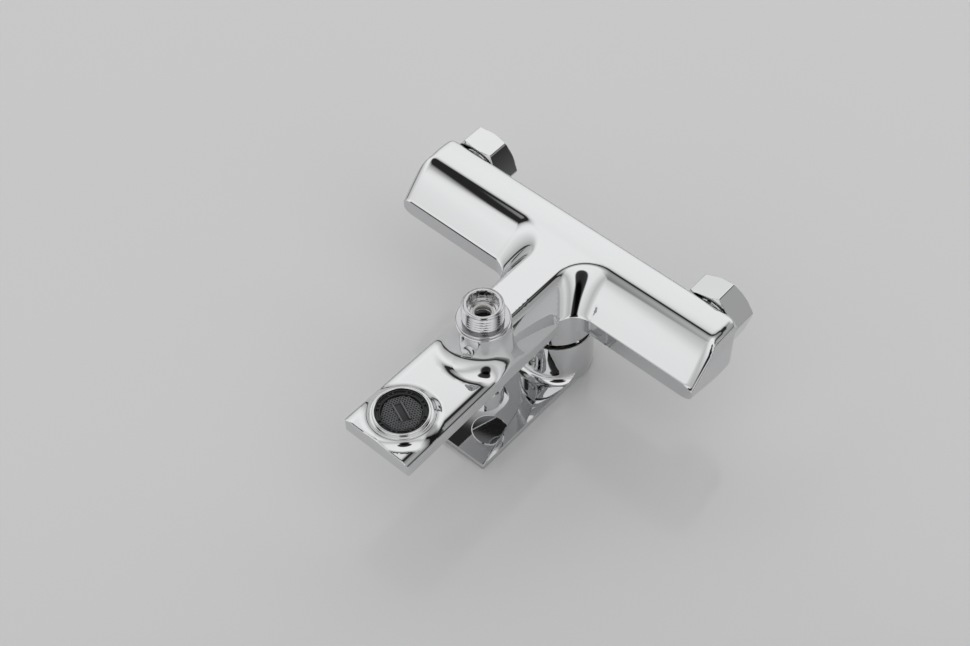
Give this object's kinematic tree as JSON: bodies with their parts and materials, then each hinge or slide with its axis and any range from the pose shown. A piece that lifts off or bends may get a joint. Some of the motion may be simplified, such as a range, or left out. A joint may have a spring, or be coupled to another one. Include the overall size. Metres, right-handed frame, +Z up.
{
  "type": "wall mounted bath mixer faucet",
  "caption": "Chrome wall mounted bath and shower mixer with a flat spout, a flat single lever, a pull-up diverter, union nuts at the inlets and a threaded shower outlet below.",
  "frame": {"origin": "in the wall-side plane of the union nuts, midway between the two inlet axes", "axes": "+Z up as installed, +Y towards the wall, spout towards -Y, +X along the inlet bar to the viewer's right"},
  "size_m": [0.187, 0.1695, 0.0973],
  "materials": {
    "chrome_plate": "polished chrome plate",
    "brass_bare": "machined brass",
    "steel_bright": "stainless steel",
    "rubber_black": "moulded rubber",
    "plastic_black": "moulded plastic, matt",
    "plastic_white": "moulded plastic, matt",
    "plastic_grey": "moulded plastic, matt",
    "ceramic_white": "lapped alumina ceramic"
  },
  "bodies": {
    "body": {"body_casting": "chrome_plate", "inlet_connector_left": "chrome_plate", "inlet_connector_right": "chrome_plate", "inlet_strainer_left": "steel_bright", "inlet_strainer_right": "steel_bright", "inlet_washer_left": "rubber_black", "inlet_washer_right": "rubber_black", "connector_o_ring_left": "rubber_black", "connector_o_ring_right": "rubber_black", "cartridge_base": "plastic_grey", "seal_hot": "rubber_black", "seal_cold": "rubber_black", "seal_outlet": "rubber_black", "fixed_disc": "ceramic_white", "cartridge_shell": "plastic_grey", "retaining_nut": "brass_bare", "glide_ring": "plastic_black", "diverter_bonnet": "chrome_plate", "diverter_gland": "rubber_black", "diverter_spring": "steel_bright", "shower_nipple": "chrome_plate", "nipple_o_ring": "rubber_black", "check_housing": "plastic_white", "check_spring": "steel_bright", "aerator_ring": "chrome_plate", "aerator_insert": "plastic_black", "aerator_screen": "steel_bright", "aerator_washer": "rubber_black"},
    "nut_left": {"union_nut_left": "chrome_plate"},
    "nut_right": {"union_nut_right": "chrome_plate"},
    "rotor": {"cartridge_rotor": "plastic_white", "pivot_pin": "steel_bright"},
    "lever": {"handle": "chrome_plate", "set_screw": "steel_bright", "lever_stem": "brass_bare"},
    "discs": {"moving_disc": "ceramic_white", "disc_carrier": "plastic_white"},
    "diverter": {"diverter_knob": "chrome_plate", "diverter_rod": "steel_bright", "diverter_valve": "brass_bare", "diverter_seal_lower": "rubber_black", "diverter_seal_upper": "rubber_black"},
    "poppet": {"check_poppet": "plastic_black"}
  },
  "joints": [
    {"name": "nut_left_spin", "type": "hinge", "parent": "body", "child": "nut_left", "pos_m": [-0.075, 0, 0], "axis": [0, 1, 0], "continuous": true},
    {"name": "nut_right_spin", "type": "hinge", "parent": "body", "child": "nut_right", "pos_m": [0.075, 0, 0], "axis": [0, 1, 0], "continuous": true},
    {"name": "temperature_turn", "type": "hinge", "parent": "body", "child": "rotor", "pos_m": [0, -0.037, 0.026], "axis": [0, 0, 1], "range_deg": [-45, 45]},
    {"name": "flow_lift", "type": "hinge", "parent": "rotor", "child": "lever", "pos_m": [0, -0.037, 0.026], "axis": [-1, 0, 0], "range_deg": [0, 20]},
    {"name": "disc_slide", "type": "slide", "parent": "rotor", "child": "discs", "axis": [0, -1, 0], "range_m": [0, 0.00176]},
    {"name": "diverter_pull", "type": "slide", "parent": "body", "child": "diverter", "axis": [0, 0, 1], "range_m": [0, 0.007], "stiffness_N_per_m": 250, "springref_m": -0.008, "deforming": ["diverter_spring"]},
    {"name": "check_open", "type": "slide", "parent": "body", "child": "poppet", "axis": [0, 0, -1], "range_m": [0, 0.0025], "stiffness_N_per_m": 120, "springref_m": -0.002, "deforming": ["check_spring"]}
  ],
  "couplings": [
    {"joint": "disc_slide", "follows": "flow_lift", "m_per_rad": 0.005}
  ]
}
